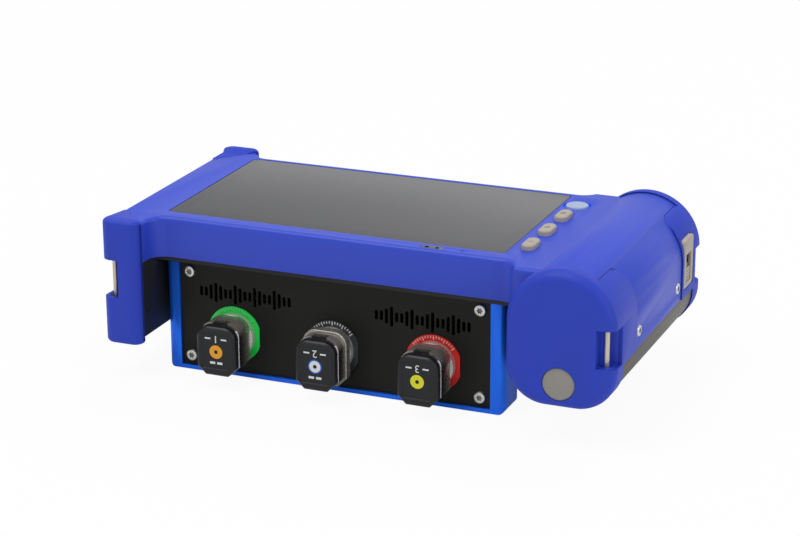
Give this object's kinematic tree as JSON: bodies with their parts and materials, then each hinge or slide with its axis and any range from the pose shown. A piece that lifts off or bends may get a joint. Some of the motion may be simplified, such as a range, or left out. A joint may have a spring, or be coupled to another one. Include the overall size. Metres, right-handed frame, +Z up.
{
  "type": "optical time domain reflectometer",
  "caption": "Handheld fibre tester: touch screen over a measuring module with capped optical ports, side grip with battery, keys, corner bumpers and strap bars.",
  "frame": {"origin": "middle of the footprint, at the height of the measuring module's underside, on which the instrument rests", "axes": "+X from the leg to the grip, +Z up through the screen, the optical ports face -Y"},
  "size_m": [0.2434, 0.131, 0.0785],
  "materials": {
    "shell_blue": "finely textured moulded plastic",
    "bumper_blue": "soft matt elastomer",
    "rear_black": "matt moulded plastic",
    "key_grey": "satin moulded rubber keys",
    "power_grey": "satin moulded button",
    "glass": "dark touch glass",
    "display": "dark display panel",
    "board_green": "solder-masked board",
    "steel": "zinc-plated steel",
    "bar_metal": "satin strap bars",
    "cell_wrap": "shrink-wrapped cells",
    "module_azure": "satin painted aluminium",
    "panel_black": "matt anodised panel",
    "label_green": "printed label",
    "label_slate": "printed label",
    "label_red": "printed label",
    "adapter_chrome": "polished nickel",
    "cap_black": "matt moulded cap",
    "ceramic": "zirconia sleeve",
    "window_dark": "tinted window",
    "brass": "turned brass",
    "aluminium": "machined aluminium",
    "spool_white": "moulded fibre spool"
  },
  "bodies": {
    "instrument": {"front_shell": "shell_blue", "rear_shell": "rear_black", "battery_cover": "shell_blue", "bumper_leg_front": "bumper_blue", "bumper_leg_rear": "bumper_blue", "bumper_grip_front": "bumper_blue", "bumper_grip_rear": "bumper_blue", "strap_bars": "bar_metal", "end_plug": "key_grey", "touch_glass": "glass", "lcd_panel": "display", "sensor_window": "window_dark", "main_board": "board_green", "processor_shield": "steel", "key_board": "board_green", "port_plate": "key_grey", "charging_jack": "cap_black", "grip_screws": "steel", "shell_screws": "steel", "battery_cells": "cell_wrap", "cell_frames": "rear_black", "protection_board": "board_green", "module_tray": "module_azure", "module_lid": "module_azure", "module_panel": "panel_black", "module_back": "panel_black", "panel_screws": "steel", "ring_otdr": "label_green", "ring_power": "label_slate", "ring_laser": "label_red", "adapter_otdr": "adapter_chrome", "adapter_power": "adapter_chrome", "adapter_laser": "adapter_chrome", "adapter_nuts": "steel", "fc_barrels": "adapter_chrome", "laser_barrel": "adapter_chrome", "ferrule_sleeves": "ceramic", "hinge_pins": "steel", "optics_board": "board_green", "board_posts": "brass", "optics_block": "aluminium", "photodiode_can": "aluminium", "laser_tube": "brass", "fibre_spool": "spool_white"},
    "key_lower_body": {"key_lower": "key_grey"},
    "key_middle_body": {"key_middle": "key_grey"},
    "key_upper_body": {"key_upper": "key_grey"},
    "power_body": {"power_button": "power_grey"},
    "flap_otdr_body": {"flap_otdr": "cap_black"},
    "flap_power_body": {"flap_power": "cap_black"},
    "flap_laser_body": {"flap_laser": "cap_black"},
    "shutter_body": {"port_shutter": "key_grey"}
  },
  "joints": [
    {"name": "key_lower_press", "type": "slide", "parent": "instrument", "child": "key_lower_body", "axis": [0, 0, -1], "range_m": [0, 0.0008], "stiffness_N_per_m": 1000},
    {"name": "key_middle_press", "type": "slide", "parent": "instrument", "child": "key_middle_body", "axis": [0, 0, -1], "range_m": [0, 0.0008], "stiffness_N_per_m": 1000},
    {"name": "key_upper_press", "type": "slide", "parent": "instrument", "child": "key_upper_body", "axis": [0, 0, -1], "range_m": [0, 0.0008], "stiffness_N_per_m": 1000},
    {"name": "power_button_press", "type": "slide", "parent": "instrument", "child": "power_body", "axis": [0, 0, -1], "range_m": [0, 0.0008], "stiffness_N_per_m": 1000},
    {"name": "flap_otdr_hinge", "type": "hinge", "parent": "instrument", "child": "flap_otdr_body", "pos_m": [-0.0673, -0.054, 0.0282], "axis": [-1, 0, 0], "range_deg": [0, 95], "stiffness_Nm_per_rad": 0.004, "springref_deg": -20.05},
    {"name": "flap_power_hinge", "type": "hinge", "parent": "instrument", "child": "flap_power_body", "pos_m": [-0.0184, -0.054, 0.0282], "axis": [-1, 0, 0], "range_deg": [0, 95], "stiffness_Nm_per_rad": 0.004, "springref_deg": -20.05},
    {"name": "flap_laser_hinge", "type": "hinge", "parent": "instrument", "child": "flap_laser_body", "pos_m": [0.0305, -0.054, 0.0282], "axis": [-1, 0, 0], "range_deg": [0, 95], "stiffness_Nm_per_rad": 0.004, "springref_deg": -20.05},
    {"name": "shutter_slide", "type": "slide", "parent": "instrument", "child": "shutter_body", "axis": [0, 0, 1], "range_m": [0, 0.0067]}
  ]
}
